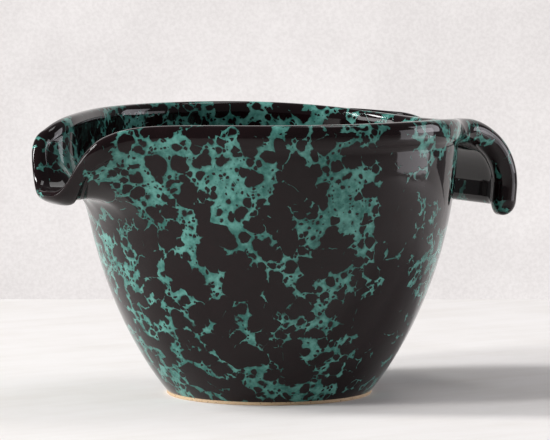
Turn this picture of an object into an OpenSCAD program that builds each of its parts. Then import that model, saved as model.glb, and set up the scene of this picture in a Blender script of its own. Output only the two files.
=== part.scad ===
// Batter bowl in glazed stoneware: a deep round bowl with a heavy rolled rim, a broad
// drooping spout on one side and a wide curled handle on the other.
// The spout points to -X, the handle to +X, and the foot stands on the plane of Z zero.

/* [Bowl] */
// Height of the rim above the table
bowl_h = 137; // [125:1:150]
// Outer radius of the wall just under the rim band
wall_r = 91.8; // [87:0.2:96]
// Radius of the foot
foot_r = 50; // [44:0.5:56]
// Height of the fullest bend of the wall
belly_h = 47.5; // [42:0.5:54]
// How far the wall still opens above that bend
belly_lean = 1.4; // [0.6:0.1:3]
// Height at which the rounded base passes into the upright wall
base_joint_h = 42; // [36:1:60]
// Thickness of the wall
wall_t = 6; // [4.8:0.1:7]
// Thickness of the floor above the foot ring
floor_t = 7; // [5:0.2:9]
// Radius of the flat floor inside
floor_r = 30; // [24:0.5:36]

/* [Foot] */
// Height of the unglazed foot ring
foot_h = 1.6; // [1:0.1:3]
// Width of the foot ring
foot_ring_w = 7; // [5:0.2:10]
// Rounding of the foot ring where it stands
foot_round = 0.5; // [0.2:0.1:0.8]

/* [Rim band] */
// Height of the rolled band along the rim
band_h = 12.4; // [11:0.2:13.6]
// Thickness of the rolled band
band_t = 8; // [7:0.1:9]
// How far the band stands out from the wall
band_proud = 2; // [1.2:0.1:2.8]
// Height of the hollow that runs in under the band
cove_h = 2.4; // [1.4:0.1:2.8]
// Height of the joint between wall and rim below the top
rim_joint_h = 21.6; // [21:0.1:24]
// How far the rim sinks on the handle side
rim_dip = 6; // [3:0.1:6.6]
// Angle over which the rim sinks beside the handle
rim_dip_angle = 41.5; // [36:0.5:46]

/* [Spout] */
// Distance from the axis to the pouring edge
spout_reach = 124.4; // [120:0.2:130]
// How far the pouring edge lies below the rim
spout_drop = 32.2; // [28:0.2:36]
// Distance from the pouring point at which the lip is halfway down
spout_dip_r = 20.8; // [18:0.1:24]
// Steepness of that fall
spout_dip_power = 3.9; // [3.2:0.1:6]
// Distance from the axis to the end of the spout's waist
neck_reach = 110; // [106:0.2:113]
// Half width of the spout at its waist
neck_half_w = 27; // [24:0.1:30]
// Angle from the spout's middle to where it leaves the round rim
spout_angle = 50; // [46:0.5:56]
// Height at which the spout starts to swell out of the wall
spout_base_h = 82; // [74:0.5:84]
// Outward lean of the lip at the pouring point
lip_tilt = 70; // [60:1:76]
// Thickness of the lip at the pouring point
lip_t = 5.6; // [4.8:0.1:7]
// How far the lip stands out from the spout there
lip_proud = 4.6; // [3.4:0.1:5.4]
// Slope of the spout's underside where it runs into the lip
under_tilt = 96; // [88:1:100]
// Slope of the spout's channel where it runs into the lip
channel_tilt = 88; // [80:1:94]

/* [Handle] */
// Distance from the axis to the outside of the handle
handle_reach = 129.2; // [124:0.2:134]
// Overall width of the handle
handle_w = 65; // [57:0.2:72]
// Thickness of the two rolled arms of the handle
arm_d = 12.4; // [11:0.2:13]
// Radius of the curl at the middle of its thickness
curl_r = 26.3; // [23:0.1:29]
// Angle through which the handle curls down
curl_turn = 96; // [90:1:106]
// Length of the straight drop below the curl
arm_drop = 5.6; // [1:0.2:8]
// Length of the rounded tips of the arms
arm_tip = 7.6; // [6.5:0.1:10]
// Thickness of the web between the arms
web_t = 8; // [6:0.1:9.6]
// How much shorter the web is than the arms
web_step = 1.2; // [0.4:0.1:3]
// Radius of the hollow between handle and rim, seen from above
root_r = 18; // [12:0.5:24]

/* [Hidden] */
glaze_green = "#4f8f7c";
glaze_dark = "#3b2e33";
glaze_mid = "#47655b";
bare_clay = "#d8c4a0";
$fn = 128;

// Stations along each form
base_steps = 18;
wall_steps = 14;
rim_step_angle = 4;
waist_steps = 12;
front_steps = 10;
throat_steps = 10;
cove_steps = 3;
band_steps = 14;
root_steps = 6;
curl_steps = 9;
drop_steps = 2;
tip_angles = [24, 46, 64, 79];
root_rows = 8;
// Halvings that find the wall curve's share at a height
find_steps = 24;

// Squareness of the band's section: 2 is an ellipse, larger is squarer
band_power = 2.6;
// Angle on the band's section at which the hollow under it begins
cove_angle = -48;
// How late the lip, the underside and the channel start to lean: 1 is evenly with the lip's fall,
// larger is later
tilt_power = 1.6;
under_power = 0.5;
channel_power = 0.7;
// Angles on an arm's round section, from its outer side inwards over the top
arm_angles = [22.5, 45, 67.5, 90, 112, 131];
// Turn of the lip at the spout's waist, against the spout's middle
waist_turn = 15;

// Shares of the sizes that the curves follow
floor_curve_share = 0.42;
inner_belly_share = 1.06;
rim_leave_share = 0.44;
waist_arrive_share = 0.22;
front_leave_share = 0.5;
front_round_share = 0.46;
// Pulls of the spout's underside and channel, beside the round rim and at the pouring point
under_wall_shares = [1.2, 1.9];
under_lip_shares = [0.9, 0.7];
channel_wall_shares = [1, 1.6];
channel_lip_shares = [1, 1.4];
web_column_shares = [0, 0.4, 0.78];
web_blend_share = 0.3;
web_blend_rise_share = 0.08;

joint_h = bowl_h - rim_joint_h;
wall_top_h = bowl_h - band_h;
floor_h = foot_h + floor_t;
crest_r = wall_r + band_proud - band_t / 2;
cut_r = 2 * spout_reach;

function bez(p, u) =
    pow(1 - u, 3) * p[0] + 3 * pow(1 - u, 2) * u * p[1] + 3 * (1 - u) * u * u * p[2] + pow(u, 3) * p[3];
function bez_dir(p, u) =
    let (d = pow(1 - u, 2) * (p[1] - p[0]) + 2 * (1 - u) * u * (p[2] - p[1]) + u * u * (p[3] - p[2]))
    d / norm(d);
function mix(a, b, u) = a + (b - a) * u;
function ease(u) = u * u * (3 - 2 * u);
function signed_pow(v, k) = sign(v) * pow(abs(v), k);

// The wall's outer and inner curves, as [radius, height], from the foot to the rim
outer_curve = [
    [foot_r, foot_h],
    [foot_r, foot_h],
    [wall_r - belly_lean, belly_h],
    [wall_r, wall_top_h]
];
inner_curve = [
    [floor_r, floor_h],
    [mix(floor_r, wall_r - wall_t, floor_curve_share), floor_h],
    [wall_r - wall_t - belly_lean, belly_h * inner_belly_share],
    [wall_r - wall_t, wall_top_h]
];
// Share of a curve at which it reaches height h
function share_at(curve, h, low = 0, high = 1, n = find_steps) =
    let (middle = (low + high) / 2)
    n == 0 ? middle
    : bez(curve, middle)[1] < h ? share_at(curve, h, middle, high, n - 1)
    : share_at(curve, h, low, middle, n - 1);
function curve_points(curve, first, last, n) = [for (i = [0:n]) bez(curve, mix(first, last, i / n))];
function reversed(list) = [for (i = [len(list) - 1:-1:0]) list[i]];

// Height of the rim's crest above a place [x, y]
function crest_h(x, y) =
    let (
        away = norm([x + spout_reach, y]) / spout_dip_r,
        side = atan2(y, x) / rim_dip_angle
    )
    bowl_h - spout_drop / (1 + pow(away, spout_dip_power)) - rim_dip * exp(-side * side);
// Share of the full spout, 1 at the pouring point and 0 on the round rim
function spout_share(x, y) = 1 / (1 + pow(norm([x + spout_reach, y]) / spout_dip_r, spout_dip_power));

// Thickness of the band and how far it stands out, at a share of the full spout
function edge_t(full) = mix(band_t, lip_t, full);
function edge_proud(full) = mix(band_proud, lip_proud, full);
// Section of the band as [out, up] from its crest: hollow, outer face, crest, inner face
function band_point(a, full) = [
    signed_pow(cos(a), 2 / band_power) * edge_t(full) / 2,
    (signed_pow(sin(a), 2 / band_power) - 1) * band_h / 2
];
function band_points(full) =
    let (
        wall_out = edge_t(full) / 2 - edge_proud(full),
        start = [wall_out, -band_h - cove_h],
        corner = [wall_out, -band_h],
        end = band_point(cove_angle, full)
    )
    concat(
        [for (i = [0:cove_steps - 1])
            let (u = i / cove_steps)
            pow(1 - u, 2) * start + 2 * (1 - u) * u * corner + u * u * end],
        [for (i = [0:band_steps]) band_point(mix(cove_angle, 180, i / band_steps), full)]
    );
// The rim's section on its outer side as a table, height to distance out
face_table = [for (p = band_points(0)) if (p[0] >= 0) [p[1], p[0]]];

// The point of the section that is highest when the band leans outward
function top_of_section(lean, full) =
    let (
        x = pow(edge_t(full) * sin(lean), 1 / (band_power - 1)),
        y = pow(band_h * cos(lean), 1 / (band_power - 1)),
        k = pow(pow(x, band_power) + pow(y, band_power), 1 / band_power)
    )
    [-x / k * edge_t(full) / 2, (y / k - 1) * band_h / 2];
// The band's section in place, with its highest point, outward direction and lean given
function band_at(top, out, lean, full) =
    let (
        side = out * cos(lean) - [0, 0, sin(lean)],
        up = out * sin(lean) + [0, 0, cos(lean)],
        high = top_of_section(lean, full)
    )
    [for (p = band_points(full)) top + side * (p[0] - high[0]) + up * (p[1] - high[1])];
function around(p, a) = [p[0] * cos(a), p[0] * sin(a), p[1]];

// A face without the corners that fall together, or nothing where fewer than three are left
function trimmed(f) =
    let (kept = [for (i = [0:len(f) - 1]) if (f[i] != f[(i + 1) % len(f)]) f[i]])
    len(kept) > 2 ? [kept] : [];
// Faces of a solid lofted through n closed rings of m points, whose two ends are closed by strips
// between the outer side of the section and its inner side
function end_strip(m) = [for (j = [0:ceil(m / 2) - 2]) each trimmed([j, j + 1, m - 2 - j, m - 1 - j])];
function loft_faces(n, m) = concat(
    [for (f = end_strip(m)) reversed(f)],
    [for (i = [0:n - 2], j = [0:m - 1])
        [i * m + j, i * m + (j + 1) % m, (i + 1) * m + (j + 1) % m, (i + 1) * m + j]],
    [for (f = end_strip(m)) [for (j = f) (n - 1) * m + j]]
);
module loft(rings) {
    polyhedron(
        points = [for (r = rings, p = r) p],
        faces = loft_faces(len(rings), len(rings[0])),
        convexity = 10
    );
}

// Floor with the rounded lower part of the wall
module bowl_base() {
    outer = curve_points(outer_curve, 0, share_at(outer_curve, base_joint_h), base_steps);
    inner = curve_points(inner_curve, 0, share_at(inner_curve, base_joint_h), base_steps);
    color(glaze_green)
        rotate_extrude()
            polygon(concat([[0, foot_h]], outer, reversed(inner), [[0, floor_h]]));
}

// Upright part of the wall, with the notch that the spout fills
module bowl_wall() {
    outer = curve_points(
        outer_curve, share_at(outer_curve, base_joint_h), share_at(outer_curve, joint_h), wall_steps
    );
    inner = curve_points(
        inner_curve, share_at(inner_curve, base_joint_h), share_at(inner_curve, joint_h), wall_steps
    );
    color(glaze_green)
        difference() {
            rotate_extrude()
                polygon(concat(outer, reversed(inner)));
            translate([0, 0, spout_base_h])
                linear_extrude(height = bowl_h)
                    polygon([
                        [0, 0],
                        cut_r * [-cos(spout_angle), sin(spout_angle)],
                        cut_r * [-1 - cos(spout_angle), sin(spout_angle)],
                        cut_r * [-1 - cos(spout_angle), -sin(spout_angle)],
                        cut_r * [-cos(spout_angle), -sin(spout_angle)]
                    ]);
        }
}

// Bare ring that the bowl stands on
module foot_ring() {
    color(bare_clay)
        rotate_extrude()
            polygon([
                [foot_r - foot_ring_w, foot_h],
                [foot_r - foot_ring_w, foot_round],
                [foot_r - foot_ring_w + foot_round, 0],
                [foot_r - foot_round, 0],
                [foot_r, foot_round],
                [foot_r, foot_h]
            ]);
}

// Rolled band round the rim, with the short neck that joins it to the wall
module rim_band() {
    neck_out = bez(outer_curve, share_at(outer_curve, joint_h));
    neck_in = bez(inner_curve, share_at(inner_curve, joint_h));
    half = 180 - spout_angle;
    n = round(2 * half / rim_step_angle);
    color(glaze_dark)
        loft([
            for (i = [0:n])
                let (
                    a = mix(-half, half, i / n),
                    out = [cos(a), sin(a), 0],
                    flat = out * crest_r,
                    crest = flat + [0, 0, crest_h(flat[0], flat[1])]
                )
                concat(
                    [around(neck_out, a)],
                    band_at(crest, out, 0, 0),
                    [around(neck_in, a)]
                )
        ]);
}

// Plan of the lip's one half, as [reach, side], from the round rim to the pouring point
leave_point = crest_r * [cos(spout_angle), sin(spout_angle)];
leave_dir = [sin(spout_angle), -cos(spout_angle)];
waist_point = [neck_reach, neck_half_w];
waist_dir = [cos(waist_turn), -sin(waist_turn)];
waist_run = norm(waist_point - leave_point);
front_run = spout_reach - neck_reach;
waist_curve = [
    leave_point,
    leave_point + leave_dir * waist_run * rim_leave_share,
    waist_point - waist_dir * waist_run * waist_arrive_share,
    waist_point
];
front_curve = [
    waist_point,
    waist_point + waist_dir * front_run * front_leave_share,
    [spout_reach, neck_half_w * front_round_share],
    [spout_reach, 0]
];
lip_half = concat(
    [for (i = [0:waist_steps - 1]) [bez(waist_curve, i / waist_steps), bez_dir(waist_curve, i / waist_steps)]],
    [for (i = [0:front_steps]) [bez(front_curve, i / front_steps), bez_dir(front_curve, i / front_steps)]]
);
lip_count = len(lip_half);
// Length run along the lip up to each of its points
function runs(list) = [
    for (i = 0, s = 0; i < len(list);
        s = i + 1 < len(list) ? s + norm(list[i + 1][0] - list[i][0]) : s, i = i + 1) s
];
lip_runs = runs(lip_half);

// Curve between two points with a direction and a pull at each, by steps, ends left out
function swept(p, p_dir, p_pull, q, q_dir, q_pull, n) =
    let (k = norm(q - p))
    [for (i = [1:n - 1])
        let (u = i / n)
        (2 * pow(u, 3) - 3 * u * u + 1) * p + (pow(u, 3) - 2 * u * u + u) * k * p_pull * p_dir
        + (3 * u * u - 2 * pow(u, 3)) * q + (pow(u, 3) - u * u) * k * q_pull * q_dir];

// Where the spout's sections start on the wall's two curves
outer_foot_share = share_at(outer_curve, spout_base_h);
inner_foot_share = share_at(inner_curve, spout_base_h);
// Pull at a share of the full spout
function pull(shares, full) = mix(shares[0], shares[1], full);
// The outward direction, turned down from straight up by tilt degrees
function leaning(out, tilt) = out * sin(tilt) + [0, 0, cos(tilt)];
// One section of the spout: i counts along the lip, and side is 1 or -1
function spout_ring(i, side) =
    let (
        p = lip_half[i][0],
        t = lip_half[i][1],
        a = 180 - side * spout_angle * (1 - lip_runs[i] / lip_runs[lip_count - 1]),
        out = [t[1], side * t[0], 0],
        x = -p[0],
        y = side * p[1],
        full = spout_share(x, y),
        band = band_at([x, y, crest_h(x, y)], out, lip_tilt * pow(full, tilt_power), full),
        under_dir = leaning(out, under_tilt * pow(full, under_power)),
        channel_dir = leaning(out, channel_tilt * pow(full, channel_power)),
        foot_out = around(bez(outer_curve, outer_foot_share), a),
        foot_in = around(bez(inner_curve, inner_foot_share), a)
    )
    concat(
        [foot_out],
        swept(
            foot_out, around(bez_dir(outer_curve, outer_foot_share), a), pull(under_wall_shares, full),
            band[0], under_dir, pull(under_lip_shares, full), throat_steps
        ),
        band,
        swept(
            band[len(band) - 1], -channel_dir, pull(channel_lip_shares, full),
            foot_in, -around(bez_dir(inner_curve, inner_foot_share), a), pull(channel_wall_shares, full),
            throat_steps
        ),
        [foot_in]
    );

// Spout drawn out of the wall, with its rolled lip
module pouring_spout() {
    color(glaze_mid)
        loft(concat(
            [for (i = [0:lip_count - 1]) spout_ring(i, 1)],
            [for (i = [lip_count - 2:-1:0]) spout_ring(i, -1)]
        ));
}

// The handle is laid out flat first, as [along, across, up from its middle], then curled
arm_r = arm_d / 2;
arm_side = handle_w / 2 - arm_r;
curl_start = handle_reach - arm_r - curl_r;
curl_run = curl_r * curl_turn * PI / 180;
arm_end = curl_start + curl_run + arm_drop;
web_edge = arm_side - sqrt(arm_r * arm_r - web_t * web_t / 4);
// Columns across one half of the handle, from the middle out: [across, half height]
half_columns = concat(
    [for (s = web_column_shares) [web_edge * s, web_t / 2]],
    [[web_edge - web_t / 2 * web_blend_share, web_t / 2 * (1 + web_blend_rise_share)]],
    [for (i = [len(arm_angles) - 1:-1:0])
        [arm_side + arm_r * cos(arm_angles[i]), arm_r * sin(arm_angles[i])]],
    [[arm_side + arm_r, 0]]
);
columns = concat(
    [for (i = [len(half_columns) - 1:-1:1]) [-half_columns[i][0], half_columns[i][1]]],
    half_columns
);
column_count = len(columns);

// Hollow between handle and rim in plan: an arc from the band's face to the handle's side
face_r = crest_r + band_t / 2;
root_y = handle_w / 2 + root_r;
root_x = sqrt(pow(face_r + root_r, 2) - root_y * root_y);
root_from = 180 + atan2(root_y, root_x);
function root_side(u) = [root_x, root_y] + root_r * [cos(mix(root_from, 270, u)), sin(mix(root_from, 270, u))];
handle_mid_h = crest_h(crest_r, 0) - band_h / 2;

// Where a column lies across at share u of the root, and its half height there
function across(c, u) =
    let (extra = root_side(u)[1] - handle_w / 2)
    c[0] + sign(c[0]) * extra * min(abs(c[0]) / arm_side, 1);
function root_height(c, u) = c[1] * mix(band_h / arm_d, 1, u);
// Place along the handle of a point on the band's face
function face_along(y, up) =
    let (r = crest_r + lookup(up - band_h / 2, face_table))
    sqrt(r * r - y * y);
function root_point(c, up_share, u) =
    let (
        y = across(c, u),
        y0 = across(c, 0),
        up = root_height(c, u) * up_share,
        up0 = root_height(c, 0) * up_share,
        side0 = root_side(0),
        along = root_side(u)[0] + (1 - u) * (face_along(y0, up0) - side0[0]),
        place = face_along(y0, up0),
        mid = crest_h(place, y0) - band_h / 2
    )
    curled(along, y, up, mix(mid, handle_mid_h, ease(u)));
function curled(along, y, up, mid) =
    let (
        a = (along - curl_start) / curl_r * 180 / PI,
        r = curl_r + up
    )
    a <= 0 ? [along, y, mid + up]
    : a < curl_turn ? [curl_start + r * sin(a), y, mid - curl_r + r * cos(a)]
    : let (past = along - curl_start - curl_run)
        [
            curl_start + r * sin(curl_turn) + past * cos(curl_turn),
            y,
            mid - curl_r + r * cos(curl_turn) - past * sin(curl_turn)
        ];
function column_end(c) = arm_end - (abs(c[0]) < web_edge ? web_step : 0);
// A point past the root: u runs from the root to the end of the column
function curl_point(c, up_share, u) =
    curled(mix(root_x, column_end(c), u), c[0], c[1] * up_share, handle_mid_h);
// A point on the rounded tip, a degrees round from the end of the column
function tip_point(c, up_share, a) =
    let (
        centre = sign(c[0]) * min(abs(c[0]), arm_side),
        run = abs(c[0]) < web_edge ? c[1] : arm_tip
    )
    curled(column_end(c) + run * sin(a), mix(centre, c[0], cos(a)), c[1] * up_share * cos(a), handle_mid_h);

// Index of column j on the upper (1) or lower (-1) side of ring k
ring_size = 2 * column_count - 2;
function ring_index(k, j, side) =
    k * ring_size + (side > 0 || j == 0 || j == column_count - 1 ? j : ring_size - j);
function ring_of(point_at) = concat(
    [for (j = [0:column_count - 1]) point_at(columns[j], 1)],
    [for (j = [column_count - 2:-1:1]) point_at(columns[j], -1)]
);

// Wide tongue that leaves the rim, curls down and ends in two rounded arms with a web between
module handle() {
    along_steps = curl_steps + drop_steps;
    rings = concat(
        [for (k = [0:root_steps]) ring_of(function (c, s) root_point(c, s, k / root_steps))],
        [for (k = [1:along_steps]) ring_of(function (c, s) curl_point(c, s, k / along_steps))],
        [for (a = tip_angles) ring_of(function (c, s) tip_point(c, s, a))]
    );
    ring_points = [for (r = rings, p = r) p];
    inner = [
        for (j = [1:column_count - 2], k = [1:root_rows - 1])
            root_point(columns[j], cos(180 * k / root_rows), 0)
    ];
    base = len(ring_points);
    last = len(rings) - 1;
    // Index of row k on the root's face under column j
    function face_index(j, k) =
        j == 0 || j == column_count - 1 ? ring_index(0, j, 1)
        : k == 0 ? ring_index(0, j, 1)
        : k == root_rows ? ring_index(0, j, -1)
        : base + (j - 1) * (root_rows - 1) + k - 1;
    side_faces = [
        for (i = [0:last - 1], j = [0:ring_size - 1])
            [
                i * ring_size + j,
                (i + 1) * ring_size + j,
                (i + 1) * ring_size + (j + 1) % ring_size,
                i * ring_size + (j + 1) % ring_size
            ]
    ];
    root_faces = [
        for (j = [0:column_count - 2], k = [0:root_rows - 1])
            each trimmed([
                face_index(j, k),
                face_index(j + 1, k),
                face_index(j + 1, k + 1),
                face_index(j, k + 1)
            ])
    ];
    tip_faces = [
        for (j = [0:column_count - 2])
            each trimmed([
                ring_index(last, j, -1),
                ring_index(last, j + 1, -1),
                ring_index(last, j + 1, 1),
                ring_index(last, j, 1)
            ])
    ];
    color(glaze_dark)
        polyhedron(
            points = concat(ring_points, inner),
            faces = [for (f = concat(side_faces, root_faces, tip_faces)) reversed(f)],
            convexity = 10
        );
}

bowl_base();
bowl_wall();
foot_ring();
rim_band();
pouring_spout();
handle();
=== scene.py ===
from math import atan2, copysign, cos, degrees, exp, hypot, pi, radians, sin, sqrt

import bpy
import numpy as np
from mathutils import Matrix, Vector


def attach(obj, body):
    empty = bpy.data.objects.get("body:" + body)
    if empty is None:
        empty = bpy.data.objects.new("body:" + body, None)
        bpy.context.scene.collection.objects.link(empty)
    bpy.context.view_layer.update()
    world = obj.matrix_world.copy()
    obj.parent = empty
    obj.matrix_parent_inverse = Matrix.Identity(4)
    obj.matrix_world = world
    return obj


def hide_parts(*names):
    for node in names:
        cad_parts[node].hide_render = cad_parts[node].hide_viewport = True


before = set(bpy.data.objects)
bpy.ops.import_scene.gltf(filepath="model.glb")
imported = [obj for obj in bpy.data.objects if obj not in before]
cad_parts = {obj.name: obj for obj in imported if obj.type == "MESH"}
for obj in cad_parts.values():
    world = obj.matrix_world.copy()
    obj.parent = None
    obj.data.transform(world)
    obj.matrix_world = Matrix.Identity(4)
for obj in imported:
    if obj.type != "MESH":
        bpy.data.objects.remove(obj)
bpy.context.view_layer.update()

# Sizes in mm and angles in degrees, as in the part's source. The spout points to -X, the handle to +X.
BOWL_H = 137  # rim above the table
WALL_R = 91.8  # outside of the wall just under the band
FOOT_R = 50
BELLY_H = 47.5  # fullest bend of the wall
BELLY_LEAN = 1.4  # how far the wall still opens above that bend
WALL_T, FLOOR_T = 6, 7
FLOOR_R = 30  # flat floor inside
FOOT_H, FOOT_RING_W, FOOT_ROUND = 1.6, 7, 0.5
BAND_H, BAND_T = 12.4, 8
BAND_PROUD = 2  # how far the band stands out from the wall
COVE_H = 2.4  # hollow that runs in under the band
RIM_JOINT_H = 21.6  # rim down to its joint with the wall
RIM_DIP, RIM_DIP_ANGLE = 6, 41.5  # how far the rim sinks by the handle, and over what angle
SPOUT_REACH = 124.4  # axis to the pouring edge
SPOUT_DROP = 32.2  # rim down to the pouring edge
DIP_R, DIP_POWER = 20.8, 3.9  # where the lip is halfway down, and how steeply it falls there
NECK_REACH, NECK_HALF_W = 110, 27  # end of the spout's waist
SPOUT_ANGLE = 50  # spout's middle to where it leaves the round rim
SPOUT_BASE_H = 82  # where the spout starts to swell out of the wall
LIP_TILT, LIP_T, LIP_PROUD = 70, 5.6, 4.6  # the band's lean, thickness and overhang at the pouring edge
UNDER_TILT, CHANNEL_TILT = 96, 88  # slopes of the spout's two sides where they run into the lip
HANDLE_REACH, HANDLE_W = 129.2, 65
ARM_D = 12.4
CURL_R, CURL_TURN = 26.3, 96  # the handle's downward curl
ARM_DROP, ARM_TIP = 5.6, 7.6  # straight end of each arm and its rounding
WEB_T, WEB_STEP = 8, 1.2  # thinner web between the arms, and how much shorter it is
ROOT_R = 44  # fillet where the handle leaves the band; the solid's is 18
MM = 0.001

# Shapes of curves, as in the part's source. A pull is a share of a curve's length.
BAND_POWER = 2.6  # superellipse of the band
COVE_ANGLE = -48  # where the cove meets the band
TILT_POWER, UNDER_POWER, CHANNEL_POWER = 1.6, 0.5, 0.7  # how the leans grow towards the pouring edge
WAIST_TURN = 15
FLOOR_PULL, BELLY_PULL = 0.42, 1.06  # where the inner curve leaves the floor, and its bend against the outer
LEAVE_PULL, WAIST_PULL, FRONT_PULL, FRONT_HALF = 0.44, 0.22, 0.5, 0.46
UNDER_PULL, UNDER_LIP_PULL = (1.2, 1.9), (0.9, 0.7)  # at the round rim and at the pouring edge
CHANNEL_PULL, CHANNEL_LIP_PULL = (1, 1.6), (1, 1.4)
PLAIN_SHARE = 0.16  # first part of the lip, where the spout runs into the plain wall

# Steps of the surfaces
WHOLE_STEPS, PART_STEPS, FOOT_STEPS, NOTCH_STEPS = 240, 208, 192, 33
LOW_ROWS, HIGH_ROWS = 60, 26
BAND_STEPS, COVE_STEPS, NECK_OUT_STEPS, NECK_IN_STEPS = 52, 7, 5, 8
WAIST_STEPS, FRONT_STEPS, SPOUT_STEPS = 60, 48, 44
ROOT_STEPS, CURL_STEPS, FACE_STEPS, ARM_STEPS = 20, 56, 12, 20
HALVINGS = 44
CORNER_STEP = 0.35  # how close the band's points stand at its flats
FLOOR_RINGS, UNDER_RINGS = (0, 0.12, 0.35, 0.6, 0.82, 0.95, 1), (0, 0.3, 0.6, 0.86, 1)
FOOT_CORNER = (90, 67, 45, 22, 0)
WEB_COLUMNS, WEB_CORNER, FILLET_COLUMNS = (0, 0.15, 0.3, 0.45, 0.6, 0.72, 0.8), 0.99, (0.2, 0.4, 0.6, 0.8)
ARM_FROM, ARM_TO = 126, 6
STEP_FROM, STEP_RUN = 0.86, 0.2  # where the web's shorter end passes into the arms
TIP_ANGLES = (9, 18, 27, 36, 45, 54, 62, 70, 77, 83, 87)
JOIN = 1e-4  # points closer than this are one
TINY = 1e-12


def vec(*values):
    return np.array(values, float)


def unit(vector):
    return vector / max(np.linalg.norm(vector), TINY)


def mix(start, end, share):
    return start + (end - start) * share


def ease(share):
    return share * share * (3 - 2 * share)


def arc(start, corner, end, share):
    """A point of the curve that leaves start and reaches end, both along the lines to the corner."""
    return (1 - share) ** 2 * start + 2 * (1 - share) * share * corner + share * share * end


def bezier(curve, share):
    rest = 1 - share
    return (
        rest ** 3 * curve[0] + 3 * rest ** 2 * share * curve[1]
        + 3 * rest * share * share * curve[2] + share ** 3 * curve[3]
    )


def bezier_dir(curve, share):
    return unit(arc(curve[1] - curve[0], curve[2] - curve[1], curve[3] - curve[2], share))


def around(point, angle):
    """A point of a profile, as distance from the axis and height, turned about the axis."""
    return vec(point[0] * cos(radians(angle)), point[0] * sin(radians(angle)), point[1])


def turned(profile, angles):
    return [[around(point, angle) for angle in angles] for point in profile]


def steps_between(start, end, steps):
    return list(np.linspace(start, end, steps + 1))


def whole_turn(steps):
    return steps_between(-180, 180, steps)[:-1]


# The part's curves
JOINT_H = BOWL_H - RIM_JOINT_H
FLOOR_H = FOOT_H + FLOOR_T
WALL_TOP_H = BOWL_H - BAND_H
CREST_R = WALL_R + BAND_PROUD - BAND_T / 2
IN_R = WALL_R - WALL_T
RIM_HALF = 180 - SPOUT_ANGLE  # half of the round rim, from the handle to where the spout leaves it
OUTER = [
    vec(FOOT_R, FOOT_H),
    vec(FOOT_R, FOOT_H),
    vec(WALL_R - BELLY_LEAN, BELLY_H),
    vec(WALL_R, WALL_TOP_H),
]
INNER = [
    vec(FLOOR_R, FLOOR_H),
    vec(mix(FLOOR_R, IN_R, FLOOR_PULL), FLOOR_H),
    vec(IN_R - BELLY_LEAN, BELLY_H * BELLY_PULL),
    vec(IN_R, WALL_TOP_H),
]


def share_at(curve, height):
    """How far along the curve it reaches a height."""
    low, high = 0.0, 1.0
    for _ in range(HALVINGS):
        middle = (low + high) / 2
        low, high = (middle, high) if bezier(curve, middle)[1] < height else (low, middle)
    return (low + high) / 2


def rows_between(curve, low, high_h, steps):
    """Points of the curve from a share of it up to a height."""
    high = share_at(curve, high_h)
    return [bezier(curve, mix(low, high, i / steps)) for i in range(steps + 1)]


def spout_share(x, y):
    """1 at the pouring edge and 0 far from it."""
    return 1 / (1 + (hypot(x + SPOUT_REACH, y) / DIP_R) ** DIP_POWER)


def crest_h(x, y):
    """Height of the rim's crest over a place."""
    side = degrees(atan2(y, x)) / RIM_DIP_ANGLE
    return BOWL_H - SPOUT_DROP * spout_share(x, y) - RIM_DIP * exp(-side * side)


def signed_pow(value, power):
    return copysign(abs(value) ** power, value)


# The band's section, as points out from its middle and down from its crest. full is the spout's share.
def band_t(full):
    return mix(BAND_T, LIP_T, full)


def band_point(angle, full):
    out, up = (signed_pow(turn(radians(angle)), 2 / BAND_POWER) for turn in (cos, sin))
    return vec(out * band_t(full) / 2, (up - 1) * BAND_H / 2)


def band_angles():
    """Even steps bunch a superellipse's points at its corners, so its flats get closer ones."""
    angles = []
    for angle in steps_between(COVE_ANGLE, 180, BAND_STEPS):
        flat = round(angle / 90) * 90
        off = angle - flat
        angles.append(flat + off * mix(CORNER_STEP, 1, abs(off) / 45))
    return angles


BAND_ANGLES = band_angles()


def band_points(full):
    wall_out = band_t(full) / 2 - mix(BAND_PROUD, LIP_PROUD, full)
    start, corner = vec(wall_out, -BAND_H - COVE_H), vec(wall_out, -BAND_H)
    end = band_point(COVE_ANGLE, full)
    cove = [arc(start, corner, end, i / COVE_STEPS) for i in range(COVE_STEPS)]
    return cove + [band_point(angle, full) for angle in BAND_ANGLES]


def top_of_section(lean, full):
    """The point of the band that is highest once the band leans."""
    power = 1 / (BAND_POWER - 1)
    out, up = (band_t(full) * sin(radians(lean))) ** power, (BAND_H * cos(radians(lean))) ** power
    size = (out ** BAND_POWER + up ** BAND_POWER) ** (1 / BAND_POWER)
    return vec(-out / size * band_t(full) / 2, (up / size - 1) * BAND_H / 2)


def leaning(out, tilt):
    return out * sin(radians(tilt)) + vec(0, 0, cos(radians(tilt)))


def band_at(crest, out, lean, full):
    """The band's section with its highest point on the crest."""
    side = out * cos(radians(lean)) - vec(0, 0, sin(radians(lean)))
    up = leaning(out, lean)
    high = top_of_section(lean, full)
    return [crest + side * (point[0] - high[0]) + up * (point[1] - high[1]) for point in band_points(full)]


def sweep(start, start_dir, start_pull, end, end_dir, end_pull, steps):
    """Points between two ends on a smooth curve that leaves and arrives along the given directions."""
    span = np.linalg.norm(end - start)
    points = []
    for i in range(1, steps):
        u = i / steps
        points.append(
            (2 * u ** 3 - 3 * u * u + 1) * start + (u ** 3 - 2 * u * u + u) * span * start_pull * start_dir
            + (3 * u * u - 2 * u ** 3) * end + (u ** 3 - u * u) * span * end_pull * end_dir
        )
    return points


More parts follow.
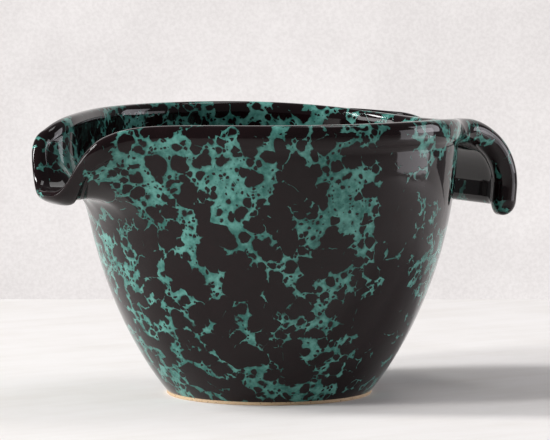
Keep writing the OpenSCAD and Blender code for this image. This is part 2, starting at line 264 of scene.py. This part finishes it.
class Piece:
    """Points, faces and a normal at each corner, gathered patch by patch."""

    def __init__(self):
        self.points, self.faces, self.normals = [], [], []

    def take(self, points):
        """Add points and say how many were there before."""
        before = sum(len(held) for held in self.points)
        self.points.append(points)
        return before

    def patch(self, grid, closed=False, flip=False, flat=False):
        """A grid of points [rows, columns]; closed joins the last column to the first."""
        grid = np.asarray(grid, float)
        rows, columns = grid.shape[:2]
        if closed:
            padded = np.concatenate([grid[:, -1:], grid, grid[:, :1]], 1)
            along = np.gradient(padded, axis=1)[:, 1:-1]
        else:
            along = np.gradient(grid, axis=1)
        normals = np.cross(along, np.gradient(grid, axis=0))
        normals = normals / np.maximum(np.linalg.norm(normals, axis=2, keepdims=True), TINY)
        if flip:
            normals = -normals
        points, normals = grid.reshape(-1, 3), normals.reshape(-1, 3)
        before = self.take(points)
        for row in range(rows - 1):
            for column in range(columns if closed else columns - 1):
                after = (column + 1) % columns
                corners = [
                    row * columns + column, row * columns + after,
                    (row + 1) * columns + after, (row + 1) * columns + column,
                ]
                if flip:
                    corners.reverse()
                self.faces.append([before + corner for corner in corners])
                if flat:
                    first, second, third, fourth = points[corners]
                    self.normals.append([unit(np.cross(third - first, fourth - second))] * 4)
                else:
                    self.normals.append([normals[corner] for corner in corners])

    def cap(self, loop, flip=False):
        """One flat face across a ring of points."""
        loop = np.asarray(loop[::-1] if flip else loop, float)
        before = self.take(loop)
        spokes = loop - loop.mean(0)
        facing = unit(np.cross(spokes, np.roll(spokes, -1, 0)).sum(0))
        self.faces.append([before + i for i in range(len(loop))])
        self.normals.append([facing] * len(loop))

    def make(self, name, material, nodes, slot):
        """Join the patches' edges and build the mesh, which stands for the CAD nodes."""
        points = np.concatenate(self.points)
        cells = np.round(points / JOIN).astype(np.int64)
        _, first, joined = np.unique(cells, axis=0, return_index=True, return_inverse=True)
        joined = joined.reshape(-1)
        faces, normals = [], []
        for face, at_corners in zip(self.faces, self.normals):
            ids = [int(joined[point]) for point in face]
            keep = [i for i in range(len(ids)) if ids[i] != ids[(i + 1) % len(ids)]]
            if len(keep) >= 3:
                faces.append([ids[i] for i in keep])
                normals += [at_corners[i] for i in keep]
        mesh = bpy.data.meshes.new(name)
        mesh.from_pydata([tuple(point * MM) for point in points[first]], [], faces)
        mesh.polygons.foreach_set("use_smooth", [True] * len(mesh.polygons))
        mesh.update()
        mesh.normals_split_custom_set([tuple(normal) for normal in normals])
        mesh.materials.append(material)
        obj = bpy.data.objects.new(name, mesh)
        bpy.context.scene.collection.objects.link(obj)
        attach(obj, "root")
        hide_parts(*nodes)


def swept_piece(rings):
    """A solid from sections that stand side by side, closed below and at both ends."""
    piece = Piece()
    piece.patch(rings)
    piece.patch([[ring[-1], ring[0]] for ring in rings], flat=True)
    piece.cap(rings[0], flip=True)
    piece.cap(rings[-1])
    return piece


def body_piece():
    piece = Piece()
    whole, part = whole_turn(WHOLE_STEPS), steps_between(-RIM_HALF, RIM_HALF, PART_STEPS)
    notch = steps_between(RIM_HALF, 360 - RIM_HALF, NOTCH_STEPS)
    edges = []
    for curve, flip in ((OUTER, False), (INNER, True)):
        high = rows_between(curve, share_at(curve, SPOUT_BASE_H), JOINT_H, HIGH_ROWS)
        piece.patch(turned(rows_between(curve, 0.0, SPOUT_BASE_H, LOW_ROWS), whole), closed=True, flip=flip)
        piece.patch(turned(high, part), flip=flip)
        edges.append(high)
    out_edge, in_edge = edges
    # Floor inside and underneath
    inside = [vec(FLOOR_R * share, FLOOR_H) for share in FLOOR_RINGS]
    piece.patch(turned(inside, whole), closed=True, flip=True)
    under = [vec(FOOT_R * share, FOOT_H) for share in UNDER_RINGS]
    piece.patch(turned(under, whole), closed=True)
    # Faces of the joints with the spout and the rim
    for angle, flip in ((RIM_HALF, False), (-RIM_HALF, True)):
        rows = [[around(out, angle), around(inner, angle)] for out, inner in zip(out_edge, in_edge)]
        piece.patch(rows, flat=True, flip=flip)
    for row, angles in ((0, notch), (-1, part)):
        piece.patch(turned([in_edge[row], out_edge[row]], angles), flat=True, flip=True)
    return piece


def rim_piece():
    out_top, in_top = share_at(OUTER, JOINT_H), share_at(INNER, JOINT_H)
    down = vec(0, 0, -1)
    rings = []
    for angle in steps_between(-RIM_HALF, RIM_HALF, PART_STEPS):
        out = around(vec(1, 0), angle)
        flat = out * CREST_R
        band = band_at(flat + vec(0, 0, crest_h(flat[0], flat[1])), out, 0, 0)
        low_out, low_in = around(bezier(OUTER, out_top), angle), around(bezier(INNER, in_top), angle)
        up_out, up_in = around(bezier_dir(OUTER, out_top), angle), around(bezier_dir(INNER, in_top), angle)
        neck_out = sweep(low_out, up_out, 1, band[0], -down, 1, NECK_OUT_STEPS)
        neck_in = sweep(band[-1], down, 1, low_in, -up_in, 1, NECK_IN_STEPS)
        rings.append([low_out] + neck_out + band + neck_in + [low_in])
    return swept_piece(rings)


def lip_plan():
    """Half of the spout's crest seen from above, as places and directions, with the run up to each."""
    leave = CREST_R * vec(cos(radians(SPOUT_ANGLE)), sin(radians(SPOUT_ANGLE)))
    leave_dir = vec(sin(radians(SPOUT_ANGLE)), -cos(radians(SPOUT_ANGLE)))
    waist = vec(NECK_REACH, NECK_HALF_W)
    waist_dir = vec(cos(radians(WAIST_TURN)), -sin(radians(WAIST_TURN)))
    run, front = np.linalg.norm(waist - leave), SPOUT_REACH - NECK_REACH
    side = [leave, leave + leave_dir * run * LEAVE_PULL, waist - waist_dir * run * WAIST_PULL, waist]
    nose = [
        waist,
        waist + waist_dir * front * FRONT_PULL,
        vec(SPOUT_REACH, NECK_HALF_W * FRONT_HALF),
        vec(SPOUT_REACH, 0),
    ]
    shares = [(side, i / WAIST_STEPS) for i in range(WAIST_STEPS)]
    shares += [(nose, i / FRONT_STEPS) for i in range(FRONT_STEPS + 1)]
    half = [(bezier(curve, share), bezier_dir(curve, share)) for curve, share in shares]
    runs = [0.0]
    for (before, _), (after, _) in zip(half, half[1:]):
        runs.append(runs[-1] + np.linalg.norm(after - before))
    return half, runs


def on_wall(curve, point, angle):
    """The point moved onto the round wall, where it is below the wall's top."""
    if point[2] >= WALL_TOP_H:
        return point
    return around(vec(bezier(curve, share_at(curve, point[2]))[0], point[2]), angle)


def spout_piece():
    half, runs = lip_plan()
    out_foot, in_foot = share_at(OUTER, SPOUT_BASE_H), share_at(INNER, SPOUT_BASE_H)

    def ring(i, side):
        flat, run_dir = half[i]
        share = runs[i] / runs[-1]
        angle = 180 - side * SPOUT_ANGLE * (1 - share)
        out = vec(run_dir[1], side * run_dir[0], 0)
        x, y = -flat[0], side * flat[1]
        full = spout_share(x, y)
        band = band_at(vec(x, y, crest_h(x, y)), out, LIP_TILT * full ** TILT_POWER, full)
        foot_out, foot_in = around(bezier(OUTER, out_foot), angle), around(bezier(INNER, in_foot), angle)
        under = sweep(
            foot_out, around(bezier_dir(OUTER, out_foot), angle), mix(*UNDER_PULL, full),
            band[0], leaning(out, UNDER_TILT * full ** UNDER_POWER), mix(*UNDER_LIP_PULL, full), SPOUT_STEPS,
        )
        channel = sweep(
            band[-1], -leaning(out, CHANNEL_TILT * full ** CHANNEL_POWER), mix(*CHANNEL_LIP_PULL, full),
            foot_in, -around(bezier_dir(INNER, in_foot), angle), mix(*CHANNEL_PULL, full), SPOUT_STEPS,
        )
        plain = 1 - ease(min(share / PLAIN_SHARE, 1))
        if plain > 0:
            under = [mix(point, on_wall(OUTER, point, angle), plain) for point in under]
            channel = [mix(point, on_wall(INNER, point, angle), plain) for point in channel]
        return [foot_out] + under + band + channel + [foot_in]

    there, back = range(len(half)), range(len(half) - 2, -1, -1)
    return swept_piece([ring(i, 1) for i in there] + [ring(i, -1) for i in back])


# The handle's curves
ARM_R = ARM_D / 2
ARM_SIDE = HANDLE_W / 2 - ARM_R
CURL_START = HANDLE_REACH - ARM_R - CURL_R
CURL_RUN = CURL_R * radians(CURL_TURN)
ARM_END = CURL_START + CURL_RUN + ARM_DROP
WEB_EDGE = ARM_SIDE - sqrt(ARM_R * ARM_R - WEB_T * WEB_T / 4)
FACE_R = CREST_R + BAND_T / 2
ROOT_Y = HANDLE_W / 2 + ROOT_R
ROOT_X = sqrt((FACE_R + ROOT_R) ** 2 - ROOT_Y * ROOT_Y)
ROOT_FROM = 180 + degrees(atan2(ROOT_Y, ROOT_X))
HANDLE_MID_H = crest_h(CREST_R, 0) - BAND_H / 2
FACE = [point for point in band_points(0) if point[0] >= 0]


def half_columns():
    """Half of the handle's section from its middle outwards: web, fillet and round arm."""

    def on_arm(angle):
        return vec(ARM_SIDE + ARM_R * cos(radians(angle)), ARM_R * sin(radians(angle)))

    columns = [vec(WEB_EDGE * share, WEB_T / 2) for share in WEB_COLUMNS]
    web_end, corner = columns[-1], vec(WEB_EDGE * WEB_CORNER, WEB_T / 2)
    columns += [arc(web_end, corner, on_arm(ARM_FROM), share) for share in FILLET_COLUMNS]
    columns += [on_arm(angle) for angle in steps_between(ARM_FROM, ARM_TO, ARM_STEPS)]
    return columns + [vec(ARM_SIDE + ARM_R, 0)]


def root_side(share):
    """Edge of the root's fillet seen from above, from the band to where the handle's sides run straight."""
    angle = radians(mix(ROOT_FROM, 270, share))
    return vec(ROOT_X, ROOT_Y) + ROOT_R * vec(cos(angle), sin(angle))


def across(column, share):
    extra = root_side(share)[1] - HANDLE_W / 2
    return column[0] + copysign(1, column[0]) * extra * min(abs(column[0]) / ARM_SIDE, 1)


def face_along(y, up):
    """How far out the band's face lies."""
    outs, heights = zip(*FACE)
    radius = CREST_R + float(np.interp(up - BAND_H / 2, heights, outs))
    return sqrt(radius * radius - y * y)


def curled(along, y, up, middle):
    """A point of the straight tongue, bent down over the curl."""
    angle, radius = (along - CURL_START) / CURL_R, CURL_R + up
    if angle <= 0:
        return vec(along, y, middle + up)
    turn = min(angle, radians(CURL_TURN))
    past = max(along - CURL_START - CURL_RUN, 0)
    return vec(
        CURL_START + radius * sin(turn) + past * cos(turn), y,
        middle - CURL_R + radius * cos(turn) - past * sin(turn),
    )


def root_point(column, side, share):
    start_up = column[1] * (BAND_H / ARM_D) * side
    start_y = across(column, 0)
    start = face_along(start_y, start_up)
    along = root_side(share)[0] + (1 - share) * (start - root_side(0)[0])
    up = column[1] * mix(BAND_H / ARM_D, 1, share) * side
    middle = mix(crest_h(start, start_y) - BAND_H / 2, HANDLE_MID_H, ease(share))
    return curled(along, across(column, share), up, middle)


def arm_share(column):
    """0 on the web and 1 on the arms."""
    return ease(min(max((abs(column[0]) - WEB_EDGE * STEP_FROM) / (WEB_EDGE * STEP_RUN), 0), 1))


def column_end(column):
    return ARM_END - (1 - arm_share(column)) * WEB_STEP


def curl_point(column, side, share):
    return curled(mix(ROOT_X, column_end(column), share), column[0], column[1] * side, HANDLE_MID_H)


def tip_point(column, side, angle):
    angle = radians(angle)
    centre = copysign(min(abs(column[0]), ARM_SIDE), column[0])
    along = column_end(column) + mix(WEB_T / 2, ARM_TIP, arm_share(column)) * sin(angle)
    return curled(along, mix(centre, column[0], cos(angle)), column[1] * side * cos(angle), HANDLE_MID_H)


def handle_piece():
    half = half_columns()
    columns = [vec(-column[0], column[1]) for column in half[:0:-1]] + half

    def ring(point_of, share):
        top = [point_of(column, 1, share) for column in columns]
        return top + [point_of(column, -1, share) for column in columns[-2:0:-1]]

    rings = [ring(root_point, i / ROOT_STEPS) for i in range(ROOT_STEPS + 1)]
    rings += [ring(curl_point, i / CURL_STEPS) for i in range(1, CURL_STEPS + 1)]
    rings += [ring(tip_point, angle) for angle in TIP_ANGLES]
    piece = Piece()
    piece.patch(rings, closed=True)
    # The root's face lies on the band and the tips close flat
    sides = [cos(pi * i / FACE_STEPS) for i in range(FACE_STEPS + 1)]
    piece.patch([[root_point(column, side, 0) for column in columns] for side in sides], flip=True)
    count, last = len(columns), rings[-1]
    piece.patch([last[:count], [last[0]] + last[:count - 1:-1] + [last[count - 1]]], flip=True)
    return piece


def foot_piece():
    piece = Piece()
    inner = FOOT_R - FOOT_RING_W

    def corner(radius, side):
        return [
            vec(radius + side * FOOT_ROUND * (1 - sin(radians(angle))), FOOT_ROUND * (1 - cos(radians(angle))))
            for angle in FOOT_CORNER
        ]

    for profile in (
        [vec(inner, FOOT_H)] + corner(inner, 1),
        [vec(inner + FOOT_ROUND, 0), vec(FOOT_R - FOOT_ROUND, 0)],
        corner(FOOT_R, -1)[::-1] + [vec(FOOT_R, FOOT_H)],
        [vec(FOOT_R, FOOT_H), vec(inner, FOOT_H)],
    ):
        piece.patch(turned(profile, whole_turn(FOOT_STEPS)), closed=True, flip=True)
    return piece


class Graph:
    """Adds and links the shader nodes of one material."""

    def __init__(self, name):
        self.material = bpy.data.materials.new(name)
        self.material.use_nodes = True
        self.tree = self.material.node_tree
        self.tree.nodes.clear()
        self.place = self.add("ShaderNodeTexCoord").outputs["Object"]

    def add(self, kind, **values):
        node = self.tree.nodes.new(kind)
        for key, value in values.items():
            setattr(node, key, value)
        return node

    def put(self, socket, value):
        if isinstance(value, bpy.types.NodeSocket):
            self.tree.links.new(value, socket)
        else:
            socket.default_value = value

    def math(self, operation, *values):
        node = self.add("ShaderNodeMath", operation=operation)
        for socket, value in zip(node.inputs, values):
            self.put(socket, value)
        return node.outputs[0]

    def vector_math(self, operation, first, second, output="Vector"):
        node = self.add("ShaderNodeVectorMath", operation=operation)
        self.put(node.inputs[0], first)
        self.put(node.inputs[1], second)
        return node.outputs[output]

    def scaled(self, vector, scale):
        node = self.add("ShaderNodeVectorMath", operation="SCALE")
        self.put(node.inputs[0], vector)
        self.put(node.inputs["Scale"], scale)
        return node.outputs["Vector"]

    def axis(self, vector, index):
        node = self.add("ShaderNodeSeparateXYZ")
        self.put(node.inputs[0], vector)
        return node.outputs[index]

    def ramp(self, value, low, high, out_low=0.0, out_high=1.0, kind="SMOOTHSTEP"):
        node = self.add("ShaderNodeMapRange", interpolation_type=kind)
        for socket, number in zip(node.inputs[:5], (value, low, high, out_low, out_high)):
            self.put(socket, number)
        return node.outputs["Result"]

    def noise(self, scale, detail=2.0, rough=0.5, where=None, output="Fac"):
        node = self.add("ShaderNodeTexNoise")
        self.put(node.inputs["Vector"], where or self.place)
        self.put(node.inputs["Scale"], scale)
        self.put(node.inputs["Detail"], detail)
        self.put(node.inputs["Roughness"], rough)
        return node.outputs[output]

    def cells(self, where, scale, feature="F1"):
        node = self.add("ShaderNodeTexVoronoi", feature=feature)
        self.put(node.inputs["Vector"], where)
        self.put(node.inputs["Scale"], scale)
        return node.outputs

    def colour(self, share, first, second):
        node = self.add("ShaderNodeMix", data_type="RGBA")
        self.put(node.inputs["Factor"], share)
        self.put(node.inputs[6], first)
        self.put(node.inputs[7], second)
        return node.outputs[2]

    def shader(self, kind, colour_socket, colour):
        node = self.add(kind)
        self.put(node.inputs[colour_socket], colour)
        return node

    def bump(self, shader, height, strength, distance):
        node = self.add("ShaderNodeBump")
        self.put(node.inputs["Height"], height)
        node.inputs["Strength"].default_value = strength
        node.inputs["Distance"].default_value = distance
        self.put(shader.inputs["Normal"], node.outputs["Normal"])

    def finish(self, shader):
        out = self.add("ShaderNodeOutputMaterial")
        self.tree.links.new(shader.outputs[0], out.inputs["Surface"])
        return self.material


def rgb(*channels):
    """The linear colour of three sRGB numbers up to 255."""
    return tuple(((c / 255 + 0.055) / 1.055) ** 2.4 if c > 10 else c / 255 / 12.92 for c in channels) + (1.0,)


# Places where the dark spatter lies thicker (positive) or thinner: x, y, z and radius in mm, amount
REGIONS = (
    (-88, -34, 106, 34, -0.5),
    (-62, -66, 110, 28, -0.4),
    (-62, -66, 92, 20, -0.4),
    (-86, -1, 82, 22, -0.2),
    (18, -90, 116, 26, 0.3),
    (-20, -88, 104, 16, -0.3),
    (-5, -83, 69, 16, -0.35),
    (-35, -73, 61, 12, -0.4),
    (-50, -57, 46, 18, -0.4),
    (-70, -12, 34, 20, -0.3),
    (-50, -30, 14, 28, 0.45),
    (-72, -40, 60, 18, 0.25),
    (-80, -26, 71, 20, 0.25),
    (-37, -77, 78, 14, 0.4),
    (-30, -83, 112, 20, 0.3),
    (-54, -74, 124, 12, -0.4),
    (44, -77, 90, 34, 0.35),
    (4, -72, 38, 30, 0.25),
    (-24, -76, 62, 20, 0.2),
    (6, -88, 90, 24, 0.4),
    (16, -72, 40, 40, 0.45),
    (-20, -60, 24, 24, 0.3),
    (108, 0, 108, 36, 0.6),
    (124, -28, 98, 30, 0.6),
    (-112, -6, 112, 30, 0.7),
    (-108, 26, 128, 18, 0.5),
)
# Four sizes of dark disc: cells per metre, radius, how it grows with the density, spread of the radii,
# softness of the edge, and width of the veins between discs, the last five in cells
DISCS = (
    (62, 0.36, 0.75, 0.42, 0.03, 0.006),
    (110, 0.44, 0.42, 0.45, 0.05, 0.03),
    (190, 0.40, 0.34, 0.5, 0.08, 0.05),
    (430, 0.28, 0.22, 0.5, 0.12, 0.05),
)
DENSITY_RANGE = 0.42
RIM_FROM, RIM_TO, RIM_EXTRA = 0.124, 0.134, 0.12  # heights in metres between which the rim's glaze darkens
DRIFT, FRAY = 0.006, 0.0012  # how far, in metres, the discs' shapes wander
DISC_SHIFT, FIRST_SHIFT = (0.31, 0.17, 0.05), 0.1  # moves each size of disc off the others
VEIN_LESS, VEIN_BASE = 1.2, 0.2  # veins thin out where the spatter is dense
HALO_RUN, HALO_SHARE = 0.16, 0.45  # darker green round each disc
FLOW_SHARE, MOTTLE_SHARE = 0.6, 0.5  # broad and fine changes of the green
DEEP_GREEN, PALE_GREEN, HALO_GREEN = rgb(42, 98, 90), rgb(98, 158, 148), rgb(30, 74, 68)
DEEP_BROWN, PALE_BROWN = rgb(13, 5, 6), rgb(27, 14, 16)
DISC_PROUD, UNEVEN = 0.12, 0.7  # how far the discs stand proud in a softly uneven coat
GLAZE_ROUGHNESS, GLAZE_IOR = 0.05, 1.33


def glaze_material():
    g = Graph("mottled_glaze")
    bent = g.place
    for scale, reach in ((85, DRIFT), (420, FRAY)):
        wander = g.vector_math("SUBTRACT", g.noise(scale, output="Color"), (0.5, 0.5, 0.5))
        bent = g.vector_math("ADD", bent, g.scaled(wander, reach))
    # How thick the dark spatter lies, above or below the mean
    thickness = g.noise(scale=24, detail=3, rough=0.55)
    density = g.ramp(thickness, 0.3, 0.7, out_low=-1, out_high=1, kind="LINEAR")
    density = g.math("MULTIPLY", density, DENSITY_RANGE)
    for x, y, z, radius, amount in REGIONS:
        away = g.vector_math("DISTANCE", g.place, (x * MM, y * MM, z * MM), "Value")
        density = g.math("ADD", density, g.ramp(away, radius * MM, 0.0, out_high=amount))
    rim = g.ramp(g.axis(g.place, 2), RIM_FROM, RIM_TO, out_high=RIM_EXTRA)
    density = g.math("ADD", density, rim)
    lace = g.ramp(g.noise(scale=45), 0.35, 0.65, out_low=-1, out_high=1, kind="LINEAR")
    # Discs of four sizes, each with its own radius, and thin green veins where they press together
    dark, halo = 0.0, 0.0
    for i, (scale, base, gain, spread, edge, vein) in enumerate(DISCS):
        shift = (DISC_SHIFT[0] * i + FIRST_SHIFT, DISC_SHIFT[1] * i, DISC_SHIFT[2] * i)
        where = g.vector_math("ADD", bent, shift)
        cells = g.cells(where, scale)
        size = g.math("MULTIPLY_ADD", g.axis(cells["Color"], 0), spread, base - spread / 2)
        size = g.math("MULTIPLY_ADD", density, gain, size)
        inside = g.math("SUBTRACT", size, cells["Distance"])
        disc = g.ramp(inside, -edge / 2, edge / 2)
        halo = g.math("MAXIMUM", halo, g.ramp(inside, -HALO_RUN, 0.0))
        border = g.cells(where, scale, "DISTANCE_TO_EDGE")["Distance"]
        width = g.math("MULTIPLY_ADD", density, -vein * VEIN_LESS, vein * VEIN_BASE)
        width = g.math("MULTIPLY_ADD", lace, vein, width)
        disc = g.math("MULTIPLY", disc, g.ramp(g.math("SUBTRACT", border, width), -edge / 4, edge / 4))
        dark = g.math("MAXIMUM", dark, disc)
    flow = g.math("MULTIPLY", g.noise(scale=60, detail=4, rough=0.6), FLOW_SHARE)
    flow = g.math("MULTIPLY_ADD", g.noise(scale=330, detail=3, rough=0.6), MOTTLE_SHARE, flow)
    green = g.colour(g.ramp(flow, 0.38, 0.7), DEEP_GREEN, PALE_GREEN)
    green = g.colour(g.math("MULTIPLY", halo, HALO_SHARE), green, HALO_GREEN)
    brown = g.colour(g.noise(scale=140, detail=3, rough=0.6), DEEP_BROWN, PALE_BROWN)
    shader = g.shader("ShaderNodeBsdfPrincipled", "Base Color", g.colour(dark, green, brown))
    shader.inputs["Roughness"].default_value = GLAZE_ROUGHNESS
    shader.inputs["IOR"].default_value = GLAZE_IOR
    height = g.math("MULTIPLY_ADD", dark, DISC_PROUD, g.math("MULTIPLY", g.noise(scale=75), UNEVEN))
    g.bump(shader, height, strength=0.2, distance=0.0008)
    return g.finish(shader)


DEEP_CLAY, PALE_CLAY, SPECK = rgb(176, 146, 112), rgb(214, 190, 156), rgb(96, 70, 52)
CLAY_ROUGHNESS = 0.75


def clay_material():
    g = Graph("bare_stoneware")
    grain = g.noise(scale=900, detail=4, rough=0.7)
    specks = g.ramp(g.cells(g.place, scale=700)["Distance"], 0.12, 0.22)
    colour = g.colour(specks, SPECK, g.colour(grain, DEEP_CLAY, PALE_CLAY))
    shader = g.shader("ShaderNodeBsdfPrincipled", "Base Color", colour)
    shader.inputs["Roughness"].default_value = CLAY_ROUGHNESS
    g.bump(shader, grain, strength=0.4, distance=0.0003)
    return g.finish(shader)


glaze, clay = glaze_material(), clay_material()
body_piece().make("glazed_wall", glaze, ["bowl_base", "bowl_wall"], "mottled_glaze")
rim_piece().make("glazed_rim", glaze, ["rim_band"], "mottled_glaze")
spout_piece().make("glazed_spout", glaze, ["pouring_spout"], "mottled_glaze")
handle_piece().make("glazed_handle", glaze, ["handle"], "mottled_glaze")
foot_piece().make("bare_foot", clay, ["foot_ring"], "bare_stoneware")

# The stage, in metres, laid out as the camera sees it
TURN, DIP = radians(33.5), 0.0935  # the camera's heading from +Y and how far it looks down
FAR = vec(sin(TURN), cos(TURN), 0)
SIDE = vec(cos(TURN), -sin(TURN), 0)
TABLE_NEAR, TABLE_FAR = -3.0, 0.408
STAGE_HALF_W = 3.0
WALL_AWAY, WALL_LOW, WALL_HIGH = 3.2, -0.6, 2.5
DEEP_PLASTER, PALE_PLASTER, GRAIN_SHARE = rgb(227, 222, 221), rgb(247, 242, 241), 0.45
PALE_BOARD, DEEP_BOARD = rgb(240, 237, 235), rgb(231, 227, 223)
STREAK_SCALE, STREAK_SHARE = (4, 26, 1), 0.5


def seen(right, away, up):
    """A place seen from the camera: to the right of the bowl, away behind it and up."""
    return SIDE * right + FAR * away + vec(0, 0, up)


def wall_material():
    """Pale plaster, seen at its own colour by the camera and in the glaze."""
    g = Graph("plaster_wall")
    cloud = g.ramp(g.noise(scale=5.2, detail=6, rough=0.62), 0.3, 0.7)
    grain = g.ramp(g.noise(scale=240, detail=3, rough=0.6), 0.3, 0.7)
    tone = g.math("MULTIPLY_ADD", grain, GRAIN_SHARE, g.math("MULTIPLY", cloud, 1 - GRAIN_SHARE))
    colour = g.colour(tone, DEEP_PLASTER, PALE_PLASTER)
    path = g.add("ShaderNodeLightPath").outputs
    mirrored = g.math("MAXIMUM", path["Is Glossy Ray"], path["Is Transmission Ray"])
    both = g.add("ShaderNodeMixShader")
    g.put(both.inputs[0], g.math("MAXIMUM", path["Is Camera Ray"], mirrored))
    g.put(both.inputs[1], g.shader("ShaderNodeBsdfDiffuse", "Color", colour).outputs[0])
    g.put(both.inputs[2], g.shader("ShaderNodeEmission", "Color", colour).outputs[0])
    return g.finish(both)


def table_material():
    """Whitewashed boards with a faint grain along the picture."""
    g = Graph("pale_table")
    along = g.add("ShaderNodeMapping")
    g.put(along.inputs["Vector"], g.place)
    along.inputs["Rotation"].default_value = (0, 0, TURN)
    along.inputs["Scale"].default_value = STREAK_SCALE
    streak = g.ramp(g.noise(scale=2.2, detail=6, rough=0.65, where=along.outputs[0]), 0.35, 0.75)
    cloud = g.ramp(g.noise(scale=14, detail=4, rough=0.6), 0.35, 0.7)
    tone = g.math("MULTIPLY_ADD", streak, STREAK_SHARE, g.math("MULTIPLY", cloud, 1 - STREAK_SHARE))
    colour = g.colour(tone, PALE_BOARD, DEEP_BOARD)
    return g.finish(g.shader("ShaderNodeBsdfDiffuse", "Color", colour))


def sheet(name, corners, material):
    mesh = bpy.data.meshes.new(name)
    mesh.from_pydata([tuple(seen(*corner)) for corner in corners], [], [(0, 1, 2, 3)])
    mesh.materials.append(material)
    obj = bpy.data.objects.new(name, mesh)
    bpy.context.scene.collection.objects.link(obj)


def softbox(name, where, target, size, glow, colour=(1, 1, 1)):
    """A lamp of even brightness glow over its face, whatever its size."""
    where, target = Vector(where), Vector(target)
    data = bpy.data.lights.new(name, "AREA")
    data.shape = "RECTANGLE"
    data.size, data.size_y = size
    data.energy = glow * pi * size[0] * size[1]
    data.color = colour
    obj = bpy.data.objects.new(name, data)
    bpy.context.scene.collection.objects.link(obj)
    obj.location = where
    obj.rotation_euler = (target - where).to_track_quat("-Z", "Y").to_euler()


sheet("table", [
    (-STAGE_HALF_W, TABLE_NEAR, 0), (STAGE_HALF_W, TABLE_NEAR, 0),
    (STAGE_HALF_W, TABLE_FAR, 0), (-STAGE_HALF_W, TABLE_FAR, 0),
], table_material())
sheet("back_wall", [
    (-STAGE_HALF_W, WALL_AWAY, WALL_LOW), (STAGE_HALF_W, WALL_AWAY, WALL_LOW),
    (STAGE_HALF_W, WALL_AWAY, WALL_HIGH), (-STAGE_HALF_W, WALL_AWAY, WALL_HIGH),
], wall_material())

MIDDLE = seen(0, 0, 0.08)
COOL = (0.97, 0.94, 1.0)
softbox("left_window", seen(-2.16, -0.1, 2.1), MIDDLE, (0.42, 0.9), 45)
softbox("near_window", seen(-2.16, -1.2, 1.75), MIDDLE, (0.3, 1.2), 26)
softbox("low_window", seen(-2.9, -0.72, 0.75), MIDDLE, (1.6, 1.1), 9)
softbox("overhead", seen(0.5, 0.35, 1.7), seen(0.1, 0, 0), (0.7, 0.4), 4)
softbox("side_window", seen(1.13, 0.33, 0.36), seen(-0.1, 0, 0.1), (0.5, 0.55), 4, COOL)
softbox("right_panel", seen(0.62, 0.03, 0.12), MIDDLE, (0.31, 0.22), 2.8, COOL)

world = bpy.data.worlds.new("room")
bpy.context.scene.world = world
world.use_nodes = True
background = world.node_tree.nodes["Background"]
background.inputs["Color"].default_value = (1.0, 0.98, 1.0, 1)
background.inputs["Strength"].default_value = 0.2

camera_data = bpy.data.cameras.new("camera")
camera_data.lens, camera_data.sensor_width = 290.18, 36
camera_data.clip_end = 50
camera = bpy.data.objects.new("camera", camera_data)
bpy.context.scene.collection.objects.link(camera)
camera.location = (-1.1843, -1.7944, 0.286)
look = Vector((sin(TURN) * cos(DIP), cos(TURN) * cos(DIP), -sin(DIP)))
camera.rotation_euler = look.to_track_quat("-Z", "Y").to_euler()
bpy.context.scene.camera = camera
bpy.context.scene.view_settings.view_transform = "Standard"
